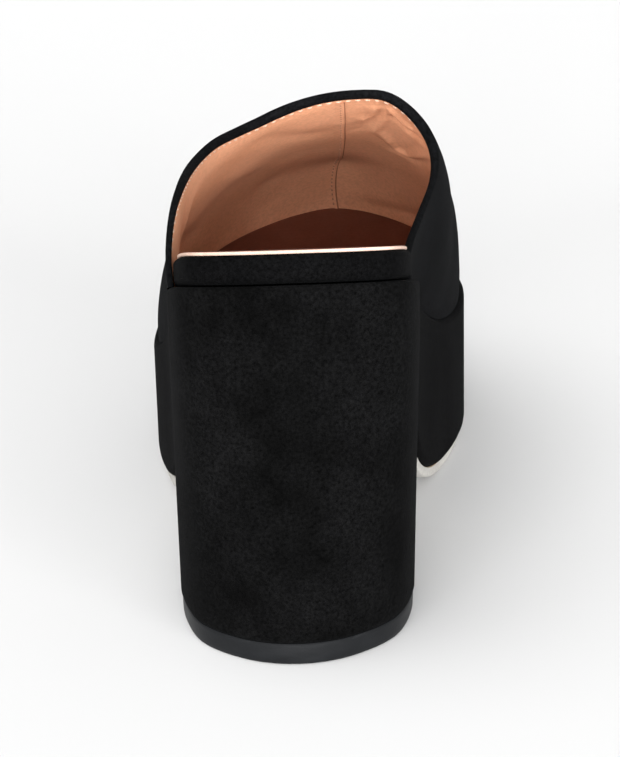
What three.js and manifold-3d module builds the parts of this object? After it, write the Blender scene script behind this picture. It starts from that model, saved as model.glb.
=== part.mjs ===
// Closed-toe platform mule for a left foot, EU size 39, with a tall block heel.
// Millimetres. +Y points to the toe, +X to the medial (big toe) side, +Z up, floor at z = 0.
// "along" is the distance from the back of the heel, and "side" the distance from the heel's
// middle line to the medial side.

import * as THREE from 'three';
import { mergeVertices } from 'three/addons/utils/BufferGeometryUtils.js';
import Module from 'manifold-3d';

const wasm = await Module();
wasm.setup();

// ---- driving sizes ------------------------------------------------------------------------

const LENGTH = 238;             // back of the heel to the tip of the toe
const TOE_SIDE = 17;            // how far the tip of the toe lies to the medial side
const GAP = 0.3;                // left between two pieces that meet

const WALL = 2.2;               // suede and lining of the upper together
const SKIVED_WALL = 1.3;        // the same where it is thinned at the back
const LEDGE = 1.6;              // how far the platform stands out past the upper
const HEEL_LEDGE = 0.2;         // the same over the heel
const THINNING = [25, 75];      // along: where the wall and the ledge change

const FOOTBED = { thickness: 8, round: 1.8, rows: 40, columns: 6 };
const SOCK = { thickness: 1, inset: 1.2, round: 0.4, rows: 36, columns: 4 };
const PLATFORM = { waist: 13, round: 2.6, rows: 34, columns: 6 };
const OUTSOLE = { thickness: 3.2, inset: 1.8, round: 0.5, rows: 34, columns: 4 };
const LIFT = { thickness: 6.5, inset: 0.4, round: 0.8 };

// The heel's section is the outline behind `top` along under the footbed. At the floor it
// is scaled down, ends at `foot`, lies `footSide` to the medial side, and its back is rounder:
// its sides lie up to `bow` further forward.
const HEEL = {
  top: 60, foot: 52, footScale: 0.97, footSide: -0.9, bow: 14, rows: 4, columns: 12,
};
const UPPER = { rows: 34, lines: 40 };

const TREAD = [134, 200];       // along: the stretch of the outsole that lies on the floor
const TOE_SPRING = 7;           // rise of the sole at the tip of the toe
const TOE_DEPTH = 36;           // tip of the toe back to the front end of the ridge
const TOE_START = 140;          // along: where the sections start to fan round the toe
const ARCH_EASE = 1.25;         // above 1 the arch is still rising where it meets the heel

// Half widths seen from above. Near the toe the lateral edge crosses to the medial side.
const OUTLINE = [
  { along: 2, lateral: 17, medial: 17 },
  { along: 8, lateral: 28, medial: 28.5 },
  { along: 24, lateral: 33.2, medial: 34 },
  { along: 55, lateral: 34, medial: 34 },
  { along: 85, lateral: 35, medial: 36.5 },
  { along: 108, lateral: 37, medial: 41.5 },
  { along: 126, lateral: 40.3, medial: 47.5 },
  { along: 142, lateral: 42.8, medial: 53.6 },
  { along: 160, lateral: 43.5, medial: 58.2 },
  { along: 178, lateral: 41, medial: 59.3 },
  { along: 196, lateral: 33, medial: 55.5 },
  { along: 211, lateral: 22, medial: 48.5 },
  { along: 224, lateral: 9, medial: 39.5 },
  { along: 233, lateral: -3.5, medial: 30 },
];

// Heights of the underside of the footbed at its two edges.
const BED = [
  { along: 0, lateral: 110, medial: 110 },
  { along: 15, lateral: 105.5, medial: 105.5 },
  { along: 30, lateral: 100, medial: 100.3 },
  { along: 60, lateral: 87, medial: 88.5 },
  { along: 90, lateral: 72, medial: 75 },
  { along: 110, lateral: 60, medial: 63.5 },
  { along: 130, lateral: 48.5, medial: 53 },
  { along: 150, lateral: 42, medial: 49 },
  { along: 170, lateral: 41.5, medial: 50 },
  { along: 190, lateral: 43.5, medial: 50.5 },
  { along: 210, lateral: 47, medial: 50.5 },
  { along: 238, lateral: 50.5, medial: 50.5 },
];

// The crest of the upper's sections: its height and its place to the medial side.
const CREST = [
  { along: 0, height: 192, side: 14 },
  { along: 30, height: 182, side: 17 },
  { along: 60, height: 165, side: 20 },
  { along: 90, height: 146, side: 23 },
  { along: 110, height: 132.5, side: 24.5 },
  { along: 130, height: 121, side: 25 },
  { along: 150, height: 111, side: 24.5 },
  { along: 170, height: 102, side: 23.5 },
  { along: 190, height: 92.5, side: 22 },
  { along: 210, height: 85, side: 20.5 },
  { along: 238, height: 73, side: 19 },
];

// How the upper's sections swell on each side. Roundness 2 is an ellipse and more is squarer,
// and the bulge is how far the wall leans out past its foot.
const SWELL = [
  { along: 0, roundLateral: 2.1, roundMedial: 2.6, bulgeLateral: 0, bulgeMedial: 0 },
  { along: 40, roundLateral: 2.1, roundMedial: 2.7, bulgeLateral: 1, bulgeMedial: 1 },
  { along: 75, roundLateral: 2.15, roundMedial: 3.2, bulgeLateral: 2.5, bulgeMedial: 7 },
  { along: 108, roundLateral: 2.2, roundMedial: 3.6, bulgeLateral: 2.5, bulgeMedial: 10.5 },
  { along: 140, roundLateral: 2.2, roundMedial: 3, bulgeLateral: 1, bulgeMedial: 3.5 },
  { along: 180, roundLateral: 2.2, roundMedial: 2.4, bulgeLateral: 0, bulgeMedial: 0 },
  { along: 238, roundLateral: 3, roundMedial: 3, bulgeLateral: 0, bulgeMedial: 0 },
];

// Top edge of the upper: how far along it lies, from the lateral bottom edge (-1) over the
// ridge (0) to the medial bottom edge (1).
const TOPLINE = [
  { across: -1, along: 26 },
  { across: -0.9, along: 36 },
  { across: -0.8, along: 47 },
  { across: -0.7, along: 66 },
  { across: -0.6, along: 82 },
  { across: -0.5, along: 93.5 },
  { across: -0.4, along: 103 },
  { across: -0.3, along: 108.5 },
  { across: -0.1, along: 109.5 },
  { across: 0.2, along: 110 },
  { across: 0.4, along: 107.5 },
  { across: 0.6, along: 101 },
  { across: 0.8, along: 89 },
  { across: 0.9, along: 76 },
  { across: 0.95, along: 65 },
  { across: 1, along: 46 },
];

// ---- curves and tables --------------------------------------------------------------------

const smoothstep = THREE.MathUtils.smoothstep;
const lerp = THREE.MathUtils.lerp;

// A smooth function through one column of a table, with `key` as its other column.
function column(rows, key, name) {
  const slope = (i) => {
    const before = rows[Math.max(i - 1, 0)];
    const after = rows[Math.min(i + 1, rows.length - 1)];
    return (after[name] - before[name]) / (after[key] - before[key]);
  };
  return (value) => {
    const last = rows.length - 2;
    const found = rows.findIndex((row) => row[key] > value) - 1;
    const i = found < -1 ? last : Math.min(Math.max(found, 0), last);
    const step = rows[i + 1][key] - rows[i][key];
    const t = THREE.MathUtils.clamp((value - rows[i][key]) / step, 0, 1);
    const t2 = t * t;
    const t3 = t2 * t;
    return rows[i][name] * (2 * t3 - 3 * t2 + 1)
      + rows[i + 1][name] * (3 * t2 - 2 * t3)
      + slope(i) * step * (t3 - 2 * t2 + t)
      + slope(i + 1) * step * (t3 - t2);
  };
}

const bedLateral = column(BED, 'along', 'lateral');
const bedMedial = column(BED, 'along', 'medial');
const crestHeight = column(CREST, 'along', 'height');
const crestSide = column(CREST, 'along', 'side');
const roundLateral = column(SWELL, 'along', 'roundLateral');
const roundMedial = column(SWELL, 'along', 'roundMedial');
const bulgeLateral = column(SWELL, 'along', 'bulgeLateral');
const bulgeMedial = column(SWELL, 'along', 'bulgeMedial');
const halfLateral = column(OUTLINE, 'along', 'lateral');
const halfMedial = column(OUTLINE, 'along', 'medial');
const toplineAlong = column(TOPLINE, 'across', 'along');

// The whole outline: back of the heel, medial side, tip of the toe, lateral side.
const outlineCurve = new THREE.CatmullRomCurve3([
  new THREE.Vector3(0, 0, 0),
  ...OUTLINE.map((row) => new THREE.Vector3(row.medial, row.along, 0)),
  new THREE.Vector3(TOE_SIDE, LENGTH, 0),
  ...OUTLINE.toReversed().map((row) => new THREE.Vector3(-row.lateral, row.along, 0)),
], true, 'centripetal');

const NEARBY = 1e-4;            // part of the outline used to find its direction
const HALVINGS = 30;            // steps in the search for a station

// A point of the outline, moved in by `inset`. `station` runs from 0 at the back of the heel
// to 1 at the tip of the toe, and side is -1 on the lateral side, 1 on the medial side.
function edgePoint(side, station, inset) {
  const t = side > 0 ? station / 2 : 1 - station / 2;
  const ahead = outlineCurve.getPoint((t + NEARBY) % 1);
  const behind = outlineCurve.getPoint((t + 1 - NEARBY) % 1);
  const tangent = ahead.sub(behind).normalize();
  const inward = new THREE.Vector3(-tangent.y, tangent.x, 0);
  return outlineCurve.getPoint(t).addScaledVector(inward, inset);
}

// The station whose outline points lie `along` from the back of the heel.
function stationAt(along) {
  let low = 0;
  let high = 1;
  for (let i = 0; i < HALVINGS; i += 1) {
    const middle = (low + high) / 2;
    if (edgePoint(1, middle, 0).y < along) low = middle;
    else high = middle;
  }
  return low;
}

const thinning = (along) => smoothstep(along, ...THINNING);
const wallAt = (along) => lerp(SKIVED_WALL, WALL, thinning(along));
const ledgeAt = (along) => lerp(HEEL_LEDGE, LEDGE, thinning(along));

// ---- surfaces -----------------------------------------------------------------------------

// Underside of the footbed, which the platform and the heel carry.
function bedHeight(point) {
  const width = halfLateral(point.y) + halfMedial(point.y);
  const part = THREE.MathUtils.clamp((point.x + halfLateral(point.y)) / width, 0, 1);
  return lerp(bedLateral(point.y), bedMedial(point.y), smoothstep(part, 0, 1));
}

// Underside of the platform: flat on the tread, up to the tip of the toe in front of it, and
// up the arch to the heel behind it.
function undersideHeight(point) {
  const tread = OUTSOLE.thickness + GAP;
  const toe = (point.y - TREAD[1]) / (LENGTH - TREAD[1]);
  if (toe > 0) return tread + TOE_SPRING * toe ** 2;
  const behind = (TREAD[0] - point.y) / (TREAD[0] - HEEL.top);
  if (behind <= 0) return tread;
  const waist = bedHeight(point) - PLATFORM.waist;
  return lerp(tread, waist, smoothstep(behind, 0, ARCH_EASE) / smoothstep(1, 0, ARCH_EASE));
}

// The upper's surface, `depth` in from its outer face. across is -1 at the lateral bottom
// edge, 0 on the ridge and 1 at the medial bottom edge.
function upperPoint(station, across, depth) {
  const side = Math.sign(across) || 1;
  const along = edgePoint(side, station, 0).y;
  const foot = edgePoint(side, station, ledgeAt(along) + depth * wallAt(along));
  foot.z = bedHeight(foot);
  const toe = Math.max(0, (along - TOE_START) / (LENGTH - TOE_START));
  const crestAlong = along - TOE_DEPTH * toe ** 2;
  const angle = (1 - Math.abs(across)) * Math.PI / 2;
  const roundness = side < 0 ? roundLateral(along) : roundMedial(along);
  const out = Math.cos(angle) ** (2 / roundness);
  const up = Math.sin(angle) ** (2 / roundness);
  const bulge = side * (side < 0 ? bulgeLateral(along) : bulgeMedial(along));
  const y = lerp(crestAlong, foot.y, out);
  return new THREE.Vector3(
    lerp(crestSide(crestAlong), foot.x, out) + bulge * Math.sin(Math.PI * up),
    y,
    lerp(foot.z, crestHeight(y) - depth * wallAt(along), up),
  );
}

// ---- solids -------------------------------------------------------------------------------

const EDGE_PARTS = [0, 0.3, 1]; // where a rounded edge has its points, as parts of its radius
const MERGE = 1e-3;             // points nearer than this are one

// A geometry from rows of points joined to their neighbours, with shared points merged and
// triangles of no area left out.
function geometryFrom(positions, triangles) {
  const raw = new THREE.BufferGeometry();
  raw.setAttribute('position', new THREE.Float32BufferAttribute(positions, 3));
  raw.setIndex(triangles);
  const geometry = mergeVertices(raw, MERGE);
  const index = [];
  for (let i = 0; i < geometry.index.count; i += 3) {
    const [a, b, c] = [0, 1, 2].map((k) => geometry.index.getX(i + k));
    if (a !== b && b !== c && c !== a) index.push(a, b, c);
  }
  geometry.setIndex(index);
  geometry.computeVertexNormals();
  return geometry;
}

// A solid through rings of points. A ring's first half is one face of the piece and its
// second half, taken backwards, the other face, so a lid joins each point to its partner.
function loft(rings, { startLid = true, endLid = true } = {}) {
  const size = rings[0].length;
  const positions = rings.flat().flatMap((p) => [p.x, p.y, p.z]);
  const triangles = [];
  for (let r = 0; r + 1 < rings.length; r += 1) {
    for (let i = 0; i < size; i += 1) {
      const a = r * size + i;
      const b = r * size + (i + 1) % size;
      triangles.push(a, b, b + size, a, b + size, a + size);
    }
  }
  const lid = (first, flip) => {
    for (let i = 0; i + 1 < size / 2; i += 1) {
      const [a, b, c, d] = [i, i + 1, size - 2 - i, size - 1 - i].map((k) => first + k);
      triangles.push(...(flip ? [a, b, c, a, c, d] : [a, c, b, a, d, c]));
    }
  };
  if (startLid) lid(0, false);
  if (endLid) lid((rings.length - 1) * size, true);
  return geometryFrom(positions, triangles);
}

// Numbers from `from` to `to` in equal steps.
function steps(from, to, count) {
  return Array.from({ length: count + 1 }, (_, i) => lerp(from, to, i / count));
}

// A flat-lying piece between two heights, over the stretch of the outline between two
// stations. Its edges are rounded.
function slab({ from, to, rows, columns, inset, round, bottom, top }) {
  const edgeSteps = EDGE_PARTS.map((part) => part * round);
  const drop = (step) => round - Math.sqrt(Math.max(0, round ** 2 - (round - step) ** 2));
  const rings = steps(from, to, rows).map((station) => {
    const along = edgePoint(1, station, 0).y;
    const at = (side, step) => edgePoint(side, station, inset(along) + step);
    const middle = steps(0, 1, columns).slice(1, -1).map((part) => ({
      point: at(-1, round).lerp(at(1, round), part),
      step: round,
    }));
    const line = [
      ...edgeSteps.map((step) => ({ point: at(-1, step), step })),
      ...middle,
      ...edgeSteps.toReversed().map((step) => ({ point: at(1, step), step })),
    ];
    const raise = (height, sign) => ({ point, step }) => (
      new THREE.Vector3(point.x, point.y, height(point) + sign * drop(step)));
    return [...line.map(raise(top, -1)), ...line.map(raise(bottom, 1)).reverse()];
  });
  return loft(rings, { startLid: from > 0, endLid: to < 1 });
}

function toManifold(geometry) {
  return new wasm.Manifold(new wasm.Mesh({
    numProp: 3,
    vertProperties: geometry.attributes.position.array,
    triVerts: new Uint32Array(geometry.index.array),
  }));
}

function subtract(geometry, cutter) {
  const { vertProperties, triVerts } = toManifold(geometry).subtract(toManifold(cutter)).getMesh();
  return geometryFrom(vertProperties, Array.from(triVerts));
}

// ---- pieces -------------------------------------------------------------------------------

const footbedInset = (along) => ledgeAt(along) + wallAt(along) + 2 * GAP;
const footbedTop = (point) => bedHeight(point) + FOOTBED.thickness;
const frontOfHeel = stationAt(HEEL.top + GAP);

// Suede and lining in one wall, from the top edge forward to the tip of the toe.
function upper() {
  const lines = steps(-1, 1, UPPER.lines).map((across) => {
    const start = stationAt(toplineAlong(across));
    return { across, stations: steps(start, 1, UPPER.rows) };
  });
  const rings = steps(0, UPPER.rows, UPPER.rows).map((row) => {
    const face = (depth) => lines.map(({ across, stations }) => (
      upperPoint(stations[row], across, depth)));
    return [...face(0), ...face(1).reverse()];
  });
  return loft(rings, { endLid: false });
}

function footbed() {
  return slab({
    ...FOOTBED, from: 0, to: 1, inset: footbedInset, bottom: bedHeight, top: footbedTop,
  });
}

function insoleSock() {
  const bottom = (point) => footbedTop(point) + GAP;
  return slab({
    ...SOCK, from: 0, to: 1, bottom,
    inset: (along) => footbedInset(along) + SOCK.inset,
    top: (point) => bottom(point) + SOCK.thickness,
  });
}

function platform() {
  return slab({
    ...PLATFORM, from: frontOfHeel, to: 1, inset: () => 0,
    bottom: undersideHeight,
    top: (point) => bedHeight(point) - GAP,
  });
}

function outsole() {
  const top = (point) => undersideHeight(point) - GAP;
  return slab({
    ...OUTSOLE, from: frontOfHeel, to: 1, inset: () => OUTSOLE.inset, top,
    bottom: (point) => top(point) - OUTSOLE.thickness,
  });
}

// The heel's outline at one height, moved in by `inset`.
function heelRing(height, inset) {
  const rise = Math.min(height / bedHeight({ x: 0, y: HEEL.top }), 1);
  const scale = lerp(HEEL.footScale, 1, rise);
  const breast = lerp(HEEL.foot, HEEL.top, rise) - inset;
  const ring = (side) => steps(0, stationAt(breast / scale), HEEL.columns).map((station) => {
    const { x, y } = edgePoint(side, station, inset).multiplyScalar(scale);
    const bow = HEEL.bow * (x / halfMedial(HEEL.top)) ** 2 * (1 - y / breast);
    return new THREE.Vector3(x + HEEL.footSide * (1 - rise), y + bow * (1 - rise), height);
  });
  return [...ring(1), ...ring(-1).reverse()];
}

function heelBlock() {
  const foot = LIFT.thickness + GAP;
  const tall = footbedTop({ x: 0, y: 0 });
  const post = loft(steps(foot, tall, HEEL.rows).map((height) => heelRing(height, 0)));
  const bed = slab({
    from: 0,
    to: stationAt(HEEL.top + FOOTBED.thickness),
    rows: HEEL.columns,
    columns: HEEL.rows,
    inset: () => -FOOTBED.thickness,
    round: GAP,
    bottom: (point) => bedHeight(point) - GAP,
    top: () => 2 * tall,
  });
  return subtract(post, bed);
}

function topLift() {
  const rings = [
    heelRing(0, LIFT.inset + LIFT.round),
    heelRing(LIFT.round, LIFT.inset),
    heelRing(LIFT.thickness, LIFT.inset),
  ];
  return loft(rings);
}

// ---- scene --------------------------------------------------------------------------------

const SUEDE = { color: 0x17171a, roughness: 0.95, metalness: 0 };
const LEATHER = { color: 0xb98263, roughness: 0.6, metalness: 0 };
const PALE_EDGE = { color: 0xc9bda6, roughness: 0.6, metalness: 0 };
const RUBBER = { color: 0x1d1e20, roughness: 0.5, metalness: 0 };

const pieces = [
  { name: 'upper', make: upper, look: SUEDE },
  { name: 'footbed', make: footbed, look: SUEDE },
  { name: 'insole_sock', make: insoleSock, look: LEATHER },
  { name: 'platform', make: platform, look: SUEDE },
  { name: 'outsole', make: outsole, look: PALE_EDGE },
  { name: 'heel_block', make: heelBlock, look: SUEDE },
  { name: 'top_lift', make: topLift, look: RUBBER },
];

const group = new THREE.Group();
pieces.forEach(({ name, make, look }) => {
  const mesh = new THREE.Mesh(make(), new THREE.MeshStandardMaterial(look));
  mesh.name = name;
  group.add(mesh);
});

// The origin is the middle of the shoe's box, on the floor.
const box = new THREE.Box3().setFromObject(group);
const middle = box.getCenter(new THREE.Vector3());
group.children.forEach((mesh) => mesh.position.set(-middle.x, -middle.y, -box.min.z));

export default group;
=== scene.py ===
"""Looks of the left platform mule: suede, leather lining, stitches and creases around the CAD.

Sizes are millimetres in the shoe's own terms, as in the part: x is the distance from the
heel's middle line to the medial side, along is the distance from the back of the heel, and z is
the height. place() turns them into the row frame in metres.
"""

import math

import bmesh
import bpy
import numpy as np
from mathutils import Matrix, Vector


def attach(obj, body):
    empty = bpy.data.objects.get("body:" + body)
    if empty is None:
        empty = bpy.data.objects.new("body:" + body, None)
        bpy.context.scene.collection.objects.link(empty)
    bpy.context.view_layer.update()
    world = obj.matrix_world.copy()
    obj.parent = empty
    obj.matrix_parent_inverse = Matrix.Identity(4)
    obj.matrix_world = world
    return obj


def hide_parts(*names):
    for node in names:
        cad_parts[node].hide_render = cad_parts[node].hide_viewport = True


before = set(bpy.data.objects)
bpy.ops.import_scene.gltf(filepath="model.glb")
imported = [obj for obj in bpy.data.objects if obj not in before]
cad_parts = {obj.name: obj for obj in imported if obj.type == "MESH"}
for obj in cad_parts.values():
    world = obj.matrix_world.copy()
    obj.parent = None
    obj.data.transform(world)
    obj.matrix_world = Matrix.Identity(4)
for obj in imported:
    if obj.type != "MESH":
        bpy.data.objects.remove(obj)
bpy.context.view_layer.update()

# ---- sizes of the part --------------------------------------------------------------------------

LENGTH = 238.0
TOE_SIDE = 17.0  # x of the toe's tip
GAP = 0.3
WALL = 2.2
SKIVED_WALL = 1.3
LEDGE = 1.6
HEEL_LEDGE = 0.2
THINNING = (25.0, 75.0)  # along: wall and ledge grow from the heel's to the full ones
FOOTBED_THICKNESS = 8.0
FOOTBED_ROUND = 2.0
SOCK_THICKNESS = 1.0
SOCK_INSET = 1.2
PLATFORM_WAIST = 13.0  # depth of the platform's underside below the footbed, at the heel
OUTSOLE_THICKNESS = 3.2
OUTSOLE_INSET = 1.8
LIFT_THICKNESS = 6.5
HEEL_TOP = 60.0
HEEL_FOOT = 52.0
HEEL_FOOT_SCALE = 0.97
HEEL_FOOT_SIDE = -0.9  # how far the heel's foot stands to the medial side
HEEL_BOW = 14.0  # how far the back corners of the heel's foot are drawn forward
TREAD = (134.0, 200.0)  # along: where the sole lies flat
TOE_SPRING = 7.0  # rise of the sole at the toe
TOE_DEPTH = 36.0  # how far behind the toe's tip the crest ends
TOE_START = 140.0  # along: where the crest starts to fall behind
ARCH_EASE = 1.25  # length of the arch's rise, of which the platform has the first part

# ---- sizes of the looks -------------------------------------------------------------------------

# The lining eases off the shoulder of the toe box over this stretch, towards an ellipse.
TOE_SOFTENING = (120.0, 200.0)
ELLIPSE = 2.0

# The suede starts this far behind the part's top edge, and is turned over it as a band.
RIM_OVERHANG = 0.4
BAND = 1.9
BAND_ROWS = 9
BAND_LIFT = 0.35
ROLL_POINTS = 11
ROLL_REACH = 1.05

# The lining starts under the band, and its lower edge is hidden behind the footbed.
UNDERLAP = 0.7
LINING_FOOT = 0.995

# Where waves and creases fade out: along the outside, across towards the foot line, and away
# from the top edge inside.
SUEDE_FADE = (60.0, 110.0)
SUEDE_FOOT_FADE = 0.12
LINING_RIM_FADE = (2.0, 9.0)
LINING_FOOT_FADE = 0.1

# Stitches: the row below the band, and the row along the lining's joint.
STITCH_INSET = 1.2
RIM_STITCH = {"pitch": 2.9, "length": 1.9, "radius": 0.25, "lift": 0.08}
SEAM_STITCH = {"pitch": 2.8, "length": 1.8, "radius": 0.26, "lift": 0.3}
STITCH_SIDES = 8
STITCH_SAG = 1.1
STITCH_AHEAD = 0.5

# A stitch from end to end: place from its middle in lengths, and thickness in radii.
STITCH_SHAPE = (
    (-0.5, 0.25), (-0.46, 0.7), (-0.3, 1.0), (0.0, 1.12), (0.3, 1.0), (0.46, 0.7), (0.5, 0.25),
)

# The lining's joint starts at one place along and across, runs to the toe's middle line and ends
# at another. Its section is places aside and heights, and the last step of it is the overlapped
# edge, coloured dark as painted shadow under the step.
SEAM_START = 112.5
SEAM_ACROSS = -0.05
SEAM_END = 236.7
SEAM_FOOT = 0.9
SEAM_PROFILE = ((5.4, -0.15), (3.6, 0.12), (2.0, 0.3), (0.6, 0.48), (0.0, -0.2))
SEAM_STITCHES = 1.8
SEAM_CREST_POINTS = 110
SEAM_TOE_POINTS = 61

SOCK_ROUND = 0.45
SOCK_LIFT = 0.1
PLATFORM_ROUND = 2.6
OUTSOLE_ROUND = 0.5
TOUCH = 0.05

# The heel's section from the lift up: level from 0 to 1, and inset of the outline.
HEEL_FOOT_EDGE = ((0.0, 0.9), (0.004, 0.35), (0.012, 0.0))
HEEL_WALL = (0.03, 0.97)
HEEL_WALL_RINGS = 40
HEEL_TOP_EDGE = ((0.985, 0.06), (0.994, 0.3), (0.999, 0.8), (1.0, 1.6))

# The lift's section: height and inset of the outline.
LIFT_SECTION = (
    (0.0, 1.6), (0.25, 0.95), (0.8, 0.6), (1.6, 0.45), (3.5, 0.4), (5.4, 0.4), (6.1, 0.45),
    (6.4, 0.7), (6.5, 1.2),
)

# How finely the meshes are divided. An ease of 0 is even, and 1 is densest at the ends.
SLAB_ROWS = 150
SLAB_COLUMNS = 36
SLAB_EASE = 0.85
HEEL_COLUMNS = 70
HEEL_BREAST = 24
HEEL_EASE = 0.6
UPPER_LINES = 230
UPPER_ROWS = 170
UPPER_POWER = 0.8
CREASE_POINTS = 12

# How finely curves are looked up, and what stands for nothing in a division.
OUTLINE_SAMPLES = 4001
STATION_SAMPLES = 8001
TANGENT_STEP = 1e-4
TINY = 1e-9

# A heel ring is worked out in passes, from a first height for a level of 1.
HEEL_PASSES = 3
HEEL_FIRST_HEIGHT = 90.0

# The search for a distance from the top edge, and the weights that smooth what it finds.
PROBE_REACH = 70.0
PROBE_POINTS = 141
SMOOTHING = np.array([1, 2, 3, 2, 1]) / 9

# In metres: points this close are merged and edges this short dropped. In degrees: turns that
# stay sharp.
MERGE = 2e-6
SLIVER = 1e-7
SHARP = 32.0
SHARP_UPPER = 60.0

# Unevenness as sine waves: height, divisors of x, along and z in mm, and start.
LEATHER_WAVES = (
    (0.22, 9.0, 23.0, math.inf, 0.0),
    (0.18, math.inf, 13.0, -11.0, 1.3),
    (0.10, 5.5, 15.0, 5.5, 0.0),
)
NAP_WAVES = ((0.12, 6.0, 17.0, math.inf, 0.0), (0.08, 2.7, -9.0, math.inf, 0.0))
SUEDE_WAVE = 0.6
LINING_WAVE = 0.9
LINING_SHIFT = 40.0

# How fast a crease grows from its ends, and its depth at them as a part of the whole.
CREASE_GROWTH = 5
CREASE_ENDS = 0.15

# A point inside the upper, from which its outer face looks away.
INSIDE = (10.0, 130.0, 60.0)

# Floor width in metres, strength of the sky, and suns with the way they shine, their spread in
# degrees and their strength.
FLOOR_WIDTH = 60
SKY = 0.45
SUNS = (
    ("overhead", (0.35, 0.2, -1.0), 60, 1.75),
    ("behind", (-0.03, 0.95, -0.07), 36, 6.5),
    ("behind_medial", (-0.55, 0.85, -0.06), 36, 4.5),
    ("behind_lateral", (0.42, 0.9, -0.06), 36, 4.5),
)

# Camera: eye in shoe millimetres, pitch down in degrees, heading, the slopes that turn its aim to
# the right and up, sensor and focal length in mm, and clipping in metres.
EYE = (-9.4, -581.6, 307.4)
PITCH = 22.3
HEADING = (0.0924, 0.9957, 0.0)
AIM_RIGHT = -0.0655556
AIM_UP = 0.0216667
SENSOR = 36
FOCAL = 113.8494
CLIP = (0.02, 100)

# ---- tables of the part, and creases ------------------------------------------------------------

# Half widths seen from above: along, lateral, medial.
OUTLINE = np.array([
    (2, 17, 17), (8, 28, 28.5), (24, 33.2, 34), (55, 34, 34), (85, 35, 36.5), (108, 37, 41.5),
    (126, 40.3, 47.5), (142, 42.8, 53.6), (160, 43.5, 58.2), (178, 41, 59.3), (196, 33, 55.5),
    (211, 22, 48.5), (224, 9, 39.5), (233, -3.5, 30),
], float)

# Heights of the underside of the footbed: along, lateral edge, medial edge.
BED = np.array([
    (0, 110, 110), (15, 105.5, 105.5), (30, 100, 100.3), (60, 87, 88.5), (90, 72, 75),
    (110, 60, 63.5), (130, 48.5, 53), (150, 42, 49), (170, 41.5, 50), (190, 43.5, 50.5),
    (210, 47, 50.5), (238, 50.5, 50.5),
], float)

# Crest of the upper's sections: along, height, place to the medial side.
CREST = np.array([
    (0, 192, 14), (30, 182, 17), (60, 165, 20), (90, 146, 23), (110, 132.5, 24.5), (130, 121, 25),
    (150, 111, 24.5), (170, 102, 23.5), (190, 92.5, 22), (210, 85, 20.5), (238, 73, 19),
], float)

# Swell of the sections: along, roundness lateral and medial, bulge lateral and medial.
SWELL = np.array([
    (0, 2.1, 2.6, 0, 0), (40, 2.1, 2.7, 1, 1), (75, 2.15, 3.2, 2.5, 7),
    (108, 2.2, 3.6, 2.5, 10.5), (140, 2.2, 3, 1, 3.5), (180, 2.2, 2.4, 0, 0), (238, 3, 3, 0, 0),
], float)

# Top edge of the upper: across, along.
TOPLINE = np.array([
    (-1, 26), (-0.9, 36), (-0.8, 47), (-0.7, 66), (-0.6, 82), (-0.5, 93.5), (-0.4, 103),
    (-0.3, 108.5), (-0.1, 109.5), (0.2, 110), (0.4, 107.5), (0.6, 101), (0.8, 89), (0.9, 76),
    (0.95, 65), (1, 46),
], float)

# Creases of the lining: points (across, along), half width and depth in mm. A negative depth
# is a ridge towards the foot.
LINING_CREASES = [
    (((-0.03, 137), (0.01, 127), (0.06, 115)), 1.8, -1.3),
    (((0.0, 150), (0.03, 138), (0.08, 121)), 1.7, 1.3),
    (((0.03, 150), (0.07, 134), (0.13, 118)), 1.6, -1.1),
    (((0.02, 128), (0.07, 119), (0.12, 113)), 1.3, 0.8),
    (((0.06, 146), (0.2, 162), (0.32, 158), (0.51, 124)), 2.0, -1.8),
    (((0.08, 152), (0.21, 168), (0.34, 164), (0.52, 130)), 2.2, 1.1),
    (((0.13, 122), (0.3, 131), (0.52, 117)), 2.0, 1.3),
    (((0.12, 114), (0.26, 122), (0.42, 116)), 1.7, -1.0),
    (((0.77, 233), (0.8, 218), (0.81, 206), (0.8, 190)), 3.0, 1.1),
    (((-0.5, 128), (-0.39, 156), (-0.25, 184), (-0.15, 191)), 5.0, -0.3),
    (((-0.6, 105), (-0.68, 150), (-0.73, 187)), 4.5, 1.0),
    (((-0.66, 96), (-0.76, 140), (-0.8, 180)), 4.0, -0.8),
    (((-0.75, 224), (-0.55, 214), (-0.3, 205)), 5.0, 0.9),
    (((-0.34, 118), (-0.2, 140), (-0.08, 150)), 5.0, 0.6),
]

# Creases of the suede outside, in the same terms.
SUEDE_CREASES = [
    (((-0.7, 150), (-0.3, 158), (0.1, 160), (0.5, 154)), 7.0, 0.7),
    (((-0.6, 166), (-0.2, 172), (0.2, 172), (0.6, 166)), 8.0, 0.45),
    (((0.75, 96), (0.85, 120), (0.8, 150)), 9.0, 0.8),
    (((-0.75, 78), (-0.8, 110), (-0.75, 140)), 9.0, 0.7),
]


# ---- tables and curves --------------------------------------------------------------------------


def column(table, index):
    """A smooth function through one column of a table."""
    keys, values = table[:, 0], table[:, index]
    count = len(keys)
    before = np.maximum(np.arange(count) - 1, 0)
    after = np.minimum(np.arange(count) + 1, count - 1)
    slopes = (values[after] - values[before]) / (keys[after] - keys[before])

    def look_up(value):
        value = np.asarray(value, float)
        i = np.clip(np.searchsorted(keys, value, side="right") - 1, 0, count - 2)
        step = keys[i + 1] - keys[i]
        t = np.clip((value - keys[i]) / step, 0, 1)
        return (
            values[i] * (2 * t**3 - 3 * t**2 + 1)
            + values[i + 1] * (3 * t**2 - 2 * t**3)
            + slopes[i] * step * (t**3 - 2 * t**2 + t)
            + slopes[i + 1] * step * (t**3 - t**2)
        )

    return look_up


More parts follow.
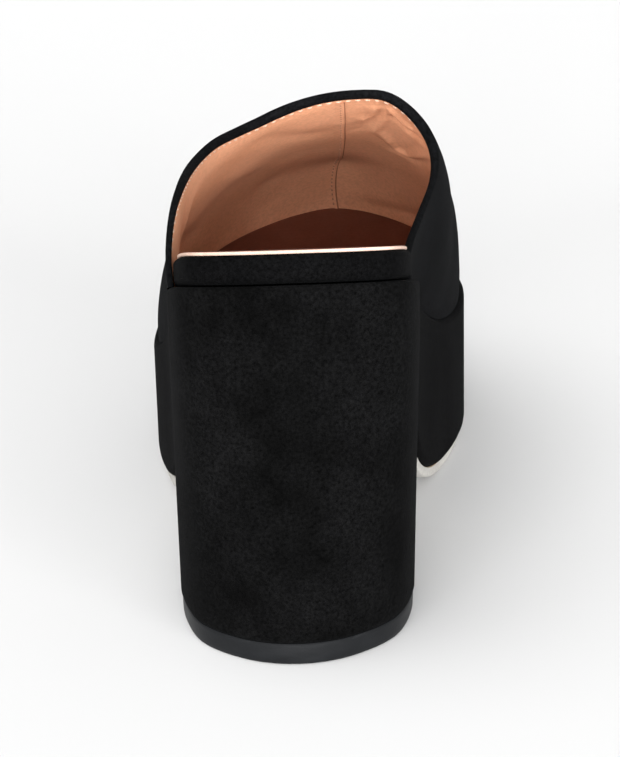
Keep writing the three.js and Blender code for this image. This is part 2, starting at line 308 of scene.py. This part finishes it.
half_lateral, half_medial = column(OUTLINE, 1), column(OUTLINE, 2)
bed_lateral, bed_medial = column(BED, 1), column(BED, 2)
crest_height, crest_side = column(CREST, 1), column(CREST, 2)
round_lateral, round_medial = column(SWELL, 1), column(SWELL, 2)
bulge_lateral, bulge_medial = column(SWELL, 3), column(SWELL, 4)
topline_along = column(TOPLINE, 1)


def smoothstep(x, low, high):
    """0 below low and 1 above high, with a smooth rise between them."""
    t = np.clip((np.asarray(x, float) - low) / (high - low), 0, 1)
    return t * t * (3 - 2 * t)


def lerp(a, b, t):
    """From a to b, as t goes from 0 to 1."""
    return a + (b - a) * t


def closed_curve(points):
    """A closed centripetal Catmull-Rom curve through the points, as a function of 0 to 1."""
    count = len(points)

    def at(t):
        p = np.mod(np.asarray(t, float), 1.0) * count
        i = np.floor(p).astype(int)
        w = (p - i)[..., None]
        p0, p1, p2, p3 = (points[(i + k) % count] for k in (-1, 0, 1, 2))
        d0, d1, d2 = (
            np.sqrt(np.linalg.norm(b - a, axis=-1))[..., None]
            for a, b in ((p0, p1), (p1, p2), (p2, p3))
        )
        m1 = ((p1 - p0) / d0 - (p2 - p0) / (d0 + d1) + (p2 - p1) / d1) * d1
        m2 = ((p2 - p1) / d1 - (p3 - p1) / (d1 + d2) + (p3 - p2) / d2) * d1
        c2 = -3 * p1 + 3 * p2 - 2 * m1 - m2
        c3 = 2 * p1 - 2 * p2 + m1 + m2
        return p1 + m1 * w + c2 * w**2 + c3 * w**3

    return at


outline = closed_curve(np.concatenate([
    [(0.0, 0.0)],
    OUTLINE[:, [2, 0]],
    [(TOE_SIDE, LENGTH)],
    (OUTLINE[:, [1, 0]] * (-1, 1))[::-1],
]))

whole_outline = outline(np.linspace(0, 1, OUTLINE_SAMPLES))
MIDDLE = (whole_outline[:, 0].min() + whole_outline[:, 0].max()) / 2


def place(points):
    """Shoe millimetres to row metres."""
    return (np.asarray(points, float) - (MIDDLE, LENGTH / 2, 0.0)) / 1000


def edge_point(side, station, inset):
    """Outline point (x, along) moved in by inset: side -1 or 1 for medial, station 0 to 1."""
    side, station, inset = np.broadcast_arrays(side, station, inset)
    t = np.where(side > 0, station / 2, 1 - station / 2)
    tangent = outline(t + TANGENT_STEP) - outline(t - TANGENT_STEP)
    tangent /= np.linalg.norm(tangent, axis=-1, keepdims=True)
    inward = np.stack([-tangent[..., 1], tangent[..., 0]], -1)
    return outline(t) + inward * inset[..., None]


def along_of(stations):
    """How far stations are from the back of the heel on the medial side."""
    return edge_point(1, stations, 0.0)[..., 1]


def waves(table, x, along, z=0.0):
    """The sum of a table's sine waves."""
    return sum(
        high * np.sin(x / by_x + along / by_along + z / by_z + start)
        for high, by_x, by_along, by_z, start in table
    )


def unit(vectors):
    """Vectors brought to a length of 1."""
    return vectors / np.maximum(np.linalg.norm(vectors, axis=-1, keepdims=True), TINY)


all_stations = np.linspace(0, 1, STATION_SAMPLES)
station_alongs = np.maximum.accumulate(along_of(all_stations))


def station_at(along):
    """The station that is this far from the back of the heel on the medial side."""
    return np.interp(along, station_alongs, all_stations)


def thinning(along):
    """0 where wall and ledge are thinned at the heel, and 1 where they are full."""
    return smoothstep(along, *THINNING)


def wall_at(along):
    """Thickness of the upper."""
    return lerp(SKIVED_WALL, WALL, thinning(along))


def ledge_at(along):
    """How far the upper's foot stands inside the outline."""
    return lerp(HEEL_LEDGE, LEDGE, thinning(along))


def bed_height(x, along):
    """Height of the underside of the footbed."""
    width = half_lateral(along) + half_medial(along)
    part = np.clip((x + half_lateral(along)) / width, 0, 1)
    return lerp(bed_lateral(along), bed_medial(along), smoothstep(part, 0, 1))


def underside_height(x, along):
    """Height of the underside of the platform."""
    tread = OUTSOLE_THICKNESS + GAP
    toe = np.maximum(0, (along - TREAD[1]) / (LENGTH - TREAD[1]))
    behind = np.maximum(0, (TREAD[0] - along) / (TREAD[0] - HEEL_TOP))
    waist = bed_height(x, along) - PLATFORM_WAIST
    rise = smoothstep(behind, 0, ARCH_EASE) / smoothstep(1, 0, ARCH_EASE)
    return lerp(tread, waist, rise) + TOE_SPRING * toe**2


def upper_point(station, across, depth, soften=0.0):
    """The upper's surface, depth walls in from its outer face: (x, along, z).

    soften eases the shoulder of the sections towards an ellipse over the toe.
    """
    station, across, depth = np.broadcast_arrays(
        np.asarray(station, float), np.asarray(across, float), np.asarray(depth, float)
    )
    side = np.where(across < 0, -1.0, 1.0)
    along = edge_point(side, station, 0.0)[..., 1]
    wall = wall_at(along)
    foot = edge_point(side, station, ledge_at(along) + depth * wall)
    foot_z = bed_height(foot[..., 0], foot[..., 1])
    toe = np.maximum(0, (along - TOE_START) / (LENGTH - TOE_START))
    crest_along = along - TOE_DEPTH * toe**2
    angle = (1 - np.abs(across)) * math.pi / 2
    roundness = np.where(side < 0, round_lateral(along), round_medial(along))
    roundness = lerp(roundness, ELLIPSE, soften * smoothstep(along, *TOE_SOFTENING))
    out = np.maximum(np.cos(angle), 0) ** (2 / roundness)
    up = np.sin(angle) ** (2 / roundness)
    bulge = side * np.where(side < 0, bulge_lateral(along), bulge_medial(along))
    y = lerp(crest_along, foot[..., 1], out)
    x = lerp(crest_side(crest_along), foot[..., 0], out) + bulge * np.sin(math.pi * up)
    return np.stack([x, y, lerp(foot_z, crest_height(y) - depth * wall, up)], -1)


# ---- meshes -------------------------------------------------------------------------------------


def add_mesh(name, points, faces, materials, sharp=SHARP, indices=None):
    """A smooth mesh from shoe millimetres. Edges that turn more than `sharp` degrees stay sharp."""
    mesh = bpy.data.meshes.new(name)
    mesh.from_pydata(place(points).tolist(), [], faces)
    for material in materials:
        mesh.materials.append(material)
    if indices is not None:
        mesh.polygons.foreach_set("material_index", indices)
    work = bmesh.new()
    work.from_mesh(mesh)
    bmesh.ops.remove_doubles(work, verts=work.verts, dist=MERGE)
    bmesh.ops.dissolve_degenerate(work, edges=work.edges, dist=SLIVER)
    for face in work.faces:
        face.smooth = True
    limit = math.radians(sharp)
    for edge in work.edges:
        edge.smooth = len(edge.link_faces) != 2 or edge.calc_face_angle(0.0) < limit
    work.to_mesh(mesh)
    work.free()
    piece = bpy.data.objects.new(name, mesh)
    bpy.context.scene.collection.objects.link(piece)
    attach(piece, "root")
    return piece


def grid_faces(rows, columns, wrap=False, first=0, flip=False):
    """Quads of a grid of rows x columns points; wrap closes each row."""
    faces = []
    for r in range(rows - 1):
        for c in range(columns if wrap else columns - 1):
            a = first + r * columns + c
            b = first + r * columns + (c + 1) % columns
            quad = (a, b, b + columns, a + columns)
            faces.append(quad[::-1] if flip else quad)
    return faces


def eased(count, ease):
    """0 to 1 in count steps, denser towards both ends."""
    t = np.linspace(0, 1, count + 1)
    return lerp(t, (1 - np.cos(math.pi * t)) / 2, ease)


def slab(name, start, inset, radius, bottom, top, materials, edge_material=0, turns=6):
    """A flat-lying piece between two heights, from a station to the toe, its edges rounded.

    inset(along) is how far it stays inside the outline. edge_material is the place in materials
    of what covers its edges and underside.
    """
    stations = lerp(start, 1.0, eased(SLAB_ROWS, SLAB_EASE))
    inward = inset(along_of(stations))
    steps = radius * (1 - np.cos(np.linspace(0, math.pi / 2, turns + 1)))
    drops = radius - np.sqrt(np.maximum(0, radius**2 - (radius - steps) ** 2))
    left = [edge_point(-1, stations, inward + step) for step in steps]
    right = [edge_point(1, stations, inward + step) for step in steps]
    parts = np.linspace(0, 1, SLAB_COLUMNS + 1)[1:-1]
    middle = [lerp(left[-1], right[-1], part) for part in parts]
    flat = np.stack(left + middle + right[::-1], 1)
    drop = np.concatenate([drops, np.full(len(middle), drops[-1]), drops[::-1]])
    x, along = flat[..., 0], flat[..., 1]
    above = np.stack([x, along, top(x, along) - drop], -1)
    below = np.stack([x, along, bottom(x, along) + drop], -1)[:, ::-1]
    rings = np.concatenate([above, below], 1)
    size = rings.shape[1]
    faces = grid_faces(len(stations), size, wrap=True)
    on_top = range(turns - 1, size // 2 - turns + 1)
    kinds = [0 if face[0] % size in on_top else edge_material for face in faces]
    # Only an end that lies within the outline is cut, and needs a lid.
    for ring, order in ((0, -1), (len(stations) - 1, 1)):
        if 0 < stations[ring] < 1:
            faces.append([ring * size + c for c in range(size)][::order])
            kinds.append(edge_material)
    return add_mesh(name, rings.reshape(-1, 3), faces, materials, indices=kinds)


def heel_rings(section, height_at):
    """Rings of the heel's outline, one for each (level, inset) of the section.

    height_at(x, along, level) is the height of a level. The outline follows the height and the
    height follows the outline, so that each ring takes a few passes.
    """
    spread = eased(HEEL_COLUMNS - 1, HEEL_EASE)
    breast = np.linspace(0, 1, HEEL_BREAST + 2)[1:-1, None]
    at_top = float(bed_height(0.0, HEEL_TOP))
    rings = []
    for level, inset in section:
        height = np.full(2 * HEEL_COLUMNS + HEEL_BREAST, level * HEEL_FIRST_HEIGHT)
        for _ in range(HEEL_PASSES):
            rise = np.clip(height / at_top, 0, 1)
            scale = lerp(HEEL_FOOT_SCALE, 1.0, rise)
            front = lerp(HEEL_FOOT, HEEL_TOP, rise) - inset
            last = station_at(front / scale)
            medial = edge_point(1, spread * last[:HEEL_COLUMNS], inset)
            medial = medial * scale[:HEEL_COLUMNS, None]
            lateral = edge_point(-1, spread * last[::-1][:HEEL_COLUMNS], inset)
            lateral = lateral * scale[::-1][:HEEL_COLUMNS, None]
            between = lerp(medial[-1], lateral[-1], breast)
            ring = np.concatenate([medial, between, lateral[::-1]])
            x, y = ring[:, 0], ring[:, 1]
            bow = HEEL_BOW * (x / half_medial(HEEL_TOP)) ** 2 * (1 - y / front)
            ring = np.stack([x + HEEL_FOOT_SIDE * (1 - rise), y + bow * (1 - rise)], -1)
            height = height_at(ring[:, 0], ring[:, 1], level)
        rings.append(np.column_stack([ring, height]))
    return rings


def lidded(name, rings, materials):
    """A solid through rings, closed at both ends by fans."""
    size = len(rings[0])
    points = np.concatenate(rings + [rings[0].mean(0)[None], rings[-1].mean(0)[None]])
    faces = grid_faces(len(rings), size, wrap=True)
    low, high = len(rings) * size, len(rings) * size + 1
    last = (len(rings) - 1) * size
    for c in range(size):
        n = (c + 1) % size
        faces.append((low, n, c))
        faces.append((high, last + c, last + n))
    return add_mesh(name, points, faces, materials)


# ---- materials ----------------------------------------------------------------------------------

# Places of a colour mix's sockets: its factor, its two colours and its result.
MIX_FACTOR, MIX_A, MIX_B, MIX_RESULT = 0, 6, 7, 2


def noise_node(tree, scale, detail, roughness, stretch=None):
    """A noise texture on the piece's own coordinates, in metres."""
    nodes, links = tree.nodes, tree.links
    source = nodes.new("ShaderNodeTexCoord").outputs["Object"]
    if stretch is not None:
        mapping = nodes.new("ShaderNodeMapping")
        mapping.inputs["Scale"].default_value = stretch
        links.new(source, mapping.inputs["Vector"])
        source = mapping.outputs["Vector"]
    noise = nodes.new("ShaderNodeTexNoise")
    noise.inputs["Scale"].default_value = scale
    noise.inputs["Detail"].default_value = detail
    noise.inputs["Roughness"].default_value = roughness
    links.new(source, noise.inputs["Vector"])
    return noise.outputs["Fac"]


def ramp_node(tree, source, low, high):
    """Colours along a value, between two stops of (position, (r, g, b))."""
    ramp = tree.nodes.new("ShaderNodeValToRGB")
    for element, (position, colour) in zip(ramp.color_ramp.elements, (low, high)):
        element.position = position
        element.color = (*colour, 1)
    tree.links.new(source, ramp.inputs["Fac"])
    return ramp.outputs["Color"]


def multiplied(tree, a, b):
    """The product of two colours."""
    mix = tree.nodes.new("ShaderNodeMix")
    mix.data_type = "RGBA"
    mix.blend_type = "MULTIPLY"
    mix.inputs[MIX_FACTOR].default_value = 1.0
    tree.links.new(a, mix.inputs[MIX_A])
    tree.links.new(b, mix.inputs[MIX_B])
    return mix.outputs[MIX_RESULT]


def bumps(tree, shader, *layers):
    """Stacks bump layers (height output, distance in metres, strength) onto a shader."""
    normal = None
    for height, distance, strength in layers:
        bump = tree.nodes.new("ShaderNodeBump")
        bump.inputs["Distance"].default_value = distance
        bump.inputs["Strength"].default_value = strength
        tree.links.new(height, bump.inputs["Height"])
        if normal is not None:
            tree.links.new(normal, bump.inputs["Normal"])
        normal = bump.outputs["Normal"]
    tree.links.new(normal, shader.inputs["Normal"])


def new_material(name):
    """A new material, its node tree and its shader."""
    material = bpy.data.materials.new(name)
    material.use_nodes = True
    tree = material.node_tree
    shader = next(n for n in tree.nodes if n.type == "BSDF_PRINCIPLED")
    return material, tree, shader


def grey(value):
    """A colour without hue."""
    return (value, value, value)


def suede(name, dark, light, sheen):
    """Brushed nap: cloudy patches of two depths, fine fibres, sheen at grazing angles."""
    material, tree, shader = new_material(name)
    clouds = noise_node(tree, scale=42, detail=4.0, roughness=0.62)
    fibres = noise_node(tree, scale=1000, detail=4.0, roughness=0.75)
    patches = ramp_node(tree, clouds, (0.34, dark), (0.7, light))
    strands = ramp_node(tree, fibres, (0.32, grey(0.12)), (0.7, grey(2.2)))
    tree.links.new(multiplied(tree, patches, strands), shader.inputs["Base Color"])
    shader.inputs["Roughness"].default_value = 0.95
    shader.inputs["Specular IOR Level"].default_value = 0.03
    shader.inputs["Sheen Weight"].default_value = sheen
    shader.inputs["Sheen Roughness"].default_value = 0.45
    shader.inputs["Sheen Tint"].default_value = (0.45, 0.47, 0.5, 1)
    bumps(tree, shader, (clouds, 0.0008, 0.4), (fibres, 0.0003, 0.9))
    return material


def leather(name, dark, light, roughness, wrinkle=0.25, specular=0.4):
    """Smooth leather: mottled colour, fine pores and faint wrinkles."""
    material, tree, shader = new_material(name)
    clouds = noise_node(tree, scale=26, detail=4.0, roughness=0.55)
    pores = noise_node(tree, scale=900, detail=2.0, roughness=0.6)
    wrinkles = noise_node(tree, scale=90, detail=3.0, roughness=0.5, stretch=(1.0, 0.35, 0.8))
    mottle = ramp_node(tree, clouds, (0.3, dark), (0.7, light))
    speckle = ramp_node(tree, pores, (0.3, grey(0.86)), (0.62, grey(1.04)))
    tree.links.new(multiplied(tree, mottle, speckle), shader.inputs["Base Color"])
    shine = ramp_node(tree, wrinkles, (0.3, grey(roughness - 0.06)), (0.7, grey(roughness + 0.08)))
    tree.links.new(shine, shader.inputs["Roughness"])
    shader.inputs["Specular IOR Level"].default_value = specular
    bumps(tree, shader, (wrinkles, 0.0009, wrinkle), (pores, 0.00012, 0.5))
    return material


def rubber(name, dark, light):
    """Satin lift with faint scuffs."""
    material, tree, shader = new_material(name)
    grain = noise_node(tree, scale=1100, detail=2.0, roughness=0.6)
    scuffs = noise_node(tree, scale=60, detail=5.0, roughness=0.65, stretch=(1.0, 1.0, 4.0))
    colour = ramp_node(tree, scuffs, (0.35, dark), (0.75, light))
    tree.links.new(colour, shader.inputs["Base Color"])
    shine = ramp_node(tree, scuffs, (0.3, grey(0.4)), (0.7, grey(0.52)))
    tree.links.new(shine, shader.inputs["Roughness"])
    shader.inputs["Specular IOR Level"].default_value = 0.13
    bumps(tree, shader, (grain, 0.0001, 0.35))
    return material


def thread(name, colour):
    """Twisted thread, with fine random darker spots as painted shade between its strands."""
    material, tree, shader = new_material(name)
    twist = noise_node(tree, scale=2600, detail=2.0, roughness=0.5)
    painted_strand_shade = tuple(0.75 * part for part in colour)
    tone = ramp_node(tree, twist, (0.3, painted_strand_shade), (0.65, colour))
    tree.links.new(tone, shader.inputs["Base Color"])
    shader.inputs["Roughness"].default_value = 0.75
    bumps(tree, shader, (twist, 0.0001, 0.5))
    return material


def paper(name):
    """Matt backdrop paper, all but even in tone."""
    material, tree, shader = new_material(name)
    cloud = noise_node(tree, scale=3.0, detail=2.0, roughness=0.5)
    tone = ramp_node(tree, cloud, (0.3, grey(0.68)), (0.7, grey(0.685)))
    tree.links.new(tone, shader.inputs["Base Color"])
    shader.inputs["Roughness"].default_value = 0.9
    shader.inputs["Specular IOR Level"].default_value = 0.0
    return material


UPPER_SUEDE = suede("upper_suede", (0.0015, 0.0016, 0.0018), (0.0032, 0.0033, 0.0037), 0.007)
WRAP_SUEDE = suede("wrap_suede", (0.0008, 0.0008, 0.0009), (0.0022, 0.0022, 0.0023), 0.006)
HEEL_SUEDE = suede("heel_suede", (0.0006, 0.0006, 0.0006), (0.0026, 0.0026, 0.0027), 0.008)
LINING = leather("lining", (0.66, 0.31, 0.17), (0.79, 0.4, 0.235), 0.5)
# The sock's top: a darker leather than the lining, darkened further as painted shade of the deep
# toe box.
SHADED_SOCK_TOP = leather("sock_top_painted_shade", (0.11, 0.035, 0.02), (0.16, 0.055, 0.034), 0.6, 0.15, 0.25)
SOCK_EDGE = leather("sock_edge", (0.42, 0.29, 0.23), (0.62, 0.45, 0.37), 0.75, 0.1, 0.2)
SOLE_EDGE = leather("sole_edge", (0.3, 0.29, 0.27), (0.42, 0.405, 0.38), 0.65, 0.1, 0.2)
SOLE_FACE = leather("sole_face", (0.3, 0.2, 0.12), (0.42, 0.29, 0.18), 0.55, 0.1)
RUBBER = rubber("lift_rubber", (0.004, 0.0044, 0.005), (0.007, 0.0076, 0.0086))
THREAD = thread("pale_thread", (0.52, 0.35, 0.26))
LINING_THREAD = thread("lining_thread", (0.42, 0.2, 0.12))
# The seam's overlapped edge: dark brown that stands in as painted shadow under the lining's step.
SEAM_PAINTED_SHADOW = leather("lining_seam_painted_shadow", (0.24, 0.1, 0.055), (0.34, 0.15, 0.085), 0.7, 0.1, 0.2)


# ---- upper --------------------------------------------------------------------------------------


def creased(points, creases):
    """How far each surface point sinks below the smooth surface, in mm."""
    shape = points.shape[:-1]
    sunk = np.zeros(shape)
    steps = np.linspace(0, 1, CREASE_POINTS)[:, None]
    for line, width, depth in creases:
        bends = np.array(line, float)
        fine = np.concatenate([lerp(a, b, steps) for a, b in zip(bends[:-1], bends[1:])])
        spots = upper_point(station_at(fine[:, 1]), fine[:, 0], 1.0)
        near = np.full(shape, np.inf)
        where = np.zeros(shape)
        for k, spot in enumerate(spots):
            gap = np.linalg.norm(points - spot, axis=-1)
            closer = gap < near
            near = np.where(closer, gap, near)
            where = np.where(closer, k / (len(spots) - 1), where)
        from_end = np.minimum(where, 1 - where)
        fade = np.clip(from_end * CREASE_GROWTH + CREASE_ENDS, 0, 1)
        sunk += depth * fade * np.exp(-((near / width) ** 2))
    return sunk


def surface_normals(points):
    """Unit normals of a grid of points."""
    return unit(np.cross(np.gradient(points, axis=1), np.gradient(points, axis=0)))


def uneven(points):
    """Slow unevenness of hand-lasted leather, in mm."""
    return waves(LEATHER_WAVES, points[..., 0], points[..., 1], points[..., 2])


half_across = np.cos(np.linspace(0, math.pi / 2, UPPER_LINES // 2 + 1))[:-1] ** UPPER_POWER
across_all = np.concatenate([-half_across, [0.0], half_across[::-1]])
start_along = topline_along(across_all) - RIM_OVERHANG
start_station = station_at(start_along)
rim_inner = upper_point(start_station, across_all, 1.0)


def rim_distance(points):
    """Distance from inner-surface points to the top edge."""
    flat = points.reshape(-1, 3)
    best = np.full(len(flat), np.inf)
    for a, b in zip(rim_inner[:-1], rim_inner[1:]):
        d = b - a
        t = np.clip(((flat - a) @ d) / max(d @ d, TINY), 0, 1)
        best = np.minimum(best, np.linalg.norm(flat - a - t[:, None] * d, axis=1))
    return best.reshape(points.shape[:-1])


def stations_past_rim(distance):
    """For each line across, the station where the inner face is that far from the top edge."""
    probe = np.linspace(0, PROBE_REACH, PROBE_POINTS)
    along = np.minimum(start_along[:, None] + probe, LENGTH - 1)
    away = rim_distance(upper_point(station_at(along), across_all[:, None], 1.0))
    far = away >= distance
    first = np.where(far.any(1), far.argmax(1), len(probe) - 1)
    before = np.maximum(first - 1, 0)
    index = np.arange(len(first))
    a, b = away[index, before], away[index, first]
    part = np.clip((distance - a) / np.maximum(b - a, TINY), 0, 1)
    found = start_along + lerp(probe[before], probe[first], part)
    padded = np.concatenate([[found[0]] * 2, found, [found[-1]] * 2])
    return station_at(np.convolve(padded, SMOOTHING, "valid"))


def inner_face(station, across, soften=0.0):
    """Points of the upper's inner face, and their directions towards the foot."""
    inner = upper_point(station, across, 1.0, soften)
    return inner, unit(inner - upper_point(station, across, 0.0, soften))


def suede_shell():
    """Outer face, rolled top edge and the band turned onto the inside, as one skin."""
    stations = lerp(start_station, 1.0, np.linspace(0, 1, UPPER_ROWS + 1)[:, None])
    outer = upper_point(stations, across_all, 0.0)
    normal = surface_normals(outer)
    normal *= np.sign(((outer - INSIDE) * normal).sum(-1).mean())
    off_foot = smoothstep(1 - np.abs(across_all), 0, SUEDE_FOOT_FADE)
    fade = smoothstep(along_of(stations), *SUEDE_FADE) * off_foot
    sunk = creased(outer, SUEDE_CREASES) + SUEDE_WAVE * uneven(outer)
    outer = outer - normal * (sunk * fade)[..., None]
    # The lower edges reach a little further down, and cover the lining's.
    outer[:, [0, -1], 2] -= GAP

    steps = np.linspace(0, 1, BAND_ROWS)[:, None]
    inner, into = inner_face(lerp(start_station, stations_past_rim(BAND), steps), across_all)
    lift = BAND_LIFT * np.sqrt(np.linspace(1, 0, BAND_ROWS))[:, None, None]
    inner = inner + into * lift

    # The roll is half an ellipse from the outer face to the band, square to what joins them.
    hub = (outer[0] + inner[0]) / 2
    half = (outer[0] - inner[0]) / 2
    ahead = outer[0] - outer[2]
    ahead -= half * ((ahead * half).sum(-1) / (half * half).sum(-1))[:, None]
    reach = ROLL_REACH * np.linalg.norm(half, axis=-1, keepdims=True)
    turns = np.linspace(0, math.pi, ROLL_POINTS)[1:-1]
    roll = [hub + math.cos(a) * half + math.sin(a) * unit(ahead) * reach for a in turns]
    skin = np.concatenate([outer[::-1], np.stack(roll), inner], 0)
    faces = grid_faces(len(skin), len(across_all))
    return add_mesh("upper_suede_skin", skin.reshape(-1, 3), faces, [UPPER_SUEDE], SHARP_UPPER)


def lining_face(station, across):
    """The lining's surface with its creases and waves, and its direction towards the foot."""
    station, across = np.broadcast_arrays(station, across)
    inner, into = inner_face(station, across, soften=1.0)
    sunk = creased(inner, LINING_CREASES) + LINING_WAVE * uneven(inner + LINING_SHIFT)
    off_rim = smoothstep(rim_distance(inner), *LINING_RIM_FADE)
    off_foot = smoothstep(1 - np.abs(across), 0.0, LINING_FOOT_FADE)
    return inner - into * (sunk * off_rim * off_foot)[..., None], into


def lining():
    """The leather inside, from under the turned edge to the toe."""
    first = stations_past_rim(BAND - UNDERLAP)
    stations = lerp(first, 1.0, np.linspace(0, 1, UPPER_ROWS + 1)[:, None])
    inner, _ = lining_face(stations, LINING_FOOT * across_all)
    faces = grid_faces(len(inner), len(across_all), flip=True)
    return add_mesh("upper_lining", inner.reshape(-1, 3), faces, [LINING], SHARP_UPPER)


def dashes(name, path, normals, material, pitch, length, radius, lift):
    """Stitches as short rounded bars along a path of points in mm."""
    gaps = np.linalg.norm(np.diff(path, axis=0), axis=1)
    run = np.concatenate([[0], np.cumsum(gaps)])

    def at_run(values, distance):
        return np.array([np.interp(distance, run, values[:, k]) for k in range(3)])

    points, faces = [], []
    for middle in np.arange(pitch, run[-1] - pitch, pitch):
        at = at_run(path, middle)
        go = unit(at_run(path, middle + STITCH_AHEAD) - at)
        up = unit(at_run(normals, middle))
        right = np.cross(go, up)
        at = at + up * lift
        first = len(points)
        for part, fat in STITCH_SHAPE:
            sag = -radius * STITCH_SAG * (2 * part) ** 2
            for s in range(STITCH_SIDES):
                angle = 2 * math.pi * s / STITCH_SIDES
                high = sag + radius * fat * math.sin(angle)
                aside = radius * fat * math.cos(angle)
                points.append(at + go * (part * length) + up * high + right * aside)
        last = len(points) - STITCH_SIDES
        faces += grid_faces(len(STITCH_SHAPE), STITCH_SIDES, wrap=True, first=first)
        faces.append([first + s for s in range(STITCH_SIDES)][::-1])
        faces.append([last + s for s in range(STITCH_SIDES)])
    return add_mesh(name, np.array(points), faces, [material])


def rim_stitches():
    """The row of stitches inside, below the turned edge."""
    inner, into = inner_face(stations_past_rim(BAND + STITCH_INSET), across_all)
    return dashes("topline_stitches", inner, into, THREAD, **RIM_STITCH)


def lining_seam():
    """The lining's joint: an overlapped edge from the top edge down the toe, with stitches."""
    crest = np.linspace(0, 1, SEAM_CREST_POINTS)
    toe_stations = np.linspace(1.0, station_at(SEAM_END), SEAM_TOE_POINTS)[1:]
    toe_across = np.linspace(0.0, SEAM_FOOT, SEAM_TOE_POINTS)[1:]
    station = np.concatenate([station_at(lerp(SEAM_START, LENGTH, crest)), toe_stations])
    across = np.concatenate([lerp(SEAM_ACROSS, 0.0, crest), toe_across])
    middle, into = lining_face(station, across)
    aside = np.cross(unit(np.gradient(middle, axis=0)), into)
    strip = np.stack([middle + aside * out + into * up for out, up in SEAM_PROFILE], 1)
    faces = grid_faces(len(strip), len(SEAM_PROFILE))
    # The last step of the section takes the dark colour of painted shadow under the step.
    painted_shadow = [int(face[0] % len(SEAM_PROFILE) == len(SEAM_PROFILE) - 2) for face in faces]
    edge = add_mesh(
        "lining_seam", strip.reshape(-1, 3), faces, [LINING, SEAM_PAINTED_SHADOW], SHARP_UPPER, painted_shadow
    )
    line = middle + aside * SEAM_STITCHES
    stitches = dashes("lining_seam_stitches", line, into, LINING_THREAD, **SEAM_STITCH)
    return [edge, stitches]


skin = suede_shell()
lining_piece = lining()
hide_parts("upper")
for piece in [rim_stitches(), *lining_seam()]:
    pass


# ---- sole, footbed and heel ---------------------------------------------------------------------


def footbed_inset(along):
    """How far the footbed stays inside the outline."""
    return ledge_at(along) + wall_at(along) + 2 * GAP


def footbed_top(x, along):
    """Height of the footbed's smooth upper face."""
    return bed_height(x, along) + FOOTBED_THICKNESS


sole_start = float(station_at(HEEL_TOP + GAP))

footbed = slab(
    "footbed_wrap", 0.0, footbed_inset, FOOTBED_ROUND, bed_height,
    lambda x, along: footbed_top(x, along) + waves(NAP_WAVES, x, along), [WRAP_SUEDE],
)
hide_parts("footbed")

sock = slab(
    "sock", 0.0, lambda along: footbed_inset(along) + SOCK_INSET, SOCK_ROUND,
    lambda x, along: footbed_top(x, along) + SOCK_LIFT,
    lambda x, along: footbed_top(x, along) + SOCK_LIFT + SOCK_THICKNESS,
    [SHADED_SOCK_TOP, SOCK_EDGE], edge_material=1,
)
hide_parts("insole_sock")

platform = slab(
    "platform_wrap", sole_start, lambda along: 0.0 * along, PLATFORM_ROUND, underside_height,
    lambda x, along: bed_height(x, along) - GAP, [WRAP_SUEDE],
)
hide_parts("platform")

outsole = slab(
    "outsole_leather", sole_start, lambda along: OUTSOLE_INSET + 0.0 * along, OUTSOLE_ROUND,
    lambda x, along: underside_height(x, along) - GAP - OUTSOLE_THICKNESS,
    lambda x, along: underside_height(x, along) - TOUCH,
    [SOLE_FACE, SOLE_EDGE], edge_material=1, turns=3,
)
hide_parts("outsole")


def heel():
    """The wrapped heel, from just above the lift to the footbed."""
    foot = LIFT_THICKNESS + TOUCH
    wall = [(level, 0.0) for level in np.linspace(*HEEL_WALL, HEEL_WALL_RINGS)]

    def height_at(x, along, level):
        return lerp(foot, bed_height(x, np.maximum(along, 0.0)) - GAP, level)

    rings = heel_rings([*HEEL_FOOT_EDGE, *wall, *HEEL_TOP_EDGE], height_at)
    return lidded("heel_wrap", rings, [HEEL_SUEDE])


heel_piece = heel()
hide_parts("heel_block")


def top_lift():
    """The lift under the heel, whose levels are heights in mm."""
    rings = heel_rings(LIFT_SECTION, lambda x, along, level: 0.0 * x + level)
    return lidded("lift", rings, [RUBBER])


lift = top_lift()
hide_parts("top_lift")


# ---- floor, light and camera --------------------------------------------------------------------


def stage():
    """A wide pale floor and soft studio light."""
    bpy.ops.mesh.primitive_plane_add(size=1)
    floor = bpy.context.object
    floor.name = "floor"
    floor.scale = (FLOOR_WIDTH, FLOOR_WIDTH, 1)
    floor.data.materials.append(paper("floor_paper"))

    world = bpy.data.worlds.new("studio")
    bpy.context.scene.world = world
    world.use_nodes = True
    background = world.node_tree.nodes["Background"]
    background.inputs["Color"].default_value = (1, 1, 1, 1)
    background.inputs["Strength"].default_value = SKY

    for name, way, spread, strength in SUNS:
        light = bpy.data.lights.new(name, "SUN")
        light.energy = strength
        light.angle = math.radians(spread)
        holder = bpy.data.objects.new(name, light)
        bpy.context.scene.collection.objects.link(holder)
        holder.rotation_euler = Vector(way).to_track_quat("-Z", "Y").to_euler()


def camera():
    """The photograph's angle, aimed at the one shoe."""
    lens = bpy.data.cameras.new("camera")
    holder = bpy.data.objects.new("camera", lens)
    bpy.context.scene.collection.objects.link(holder)
    pitch = math.radians(PITCH)
    heading = Vector(HEADING).normalized()
    forward = heading * math.cos(pitch) - Vector((0, 0, math.sin(pitch)))
    right = heading.cross(Vector((0, 0, 1))).normalized()
    up = right.cross(forward).normalized()
    aim = (forward + right * AIM_RIGHT + up * AIM_UP).normalized()
    right = (right - aim * right.dot(aim)).normalized()
    up = right.cross(aim).normalized()
    turn = Matrix((right, up, -aim)).transposed()
    eye = place([EYE])[0]
    holder.matrix_world = Matrix.Translation(Vector(eye)) @ turn.to_4x4()
    lens.sensor_width = SENSOR
    lens.lens = FOCAL
    lens.clip_start, lens.clip_end = CLIP
    bpy.context.scene.camera = holder


stage()
camera()
bpy.context.scene.view_settings.view_transform = "Standard"
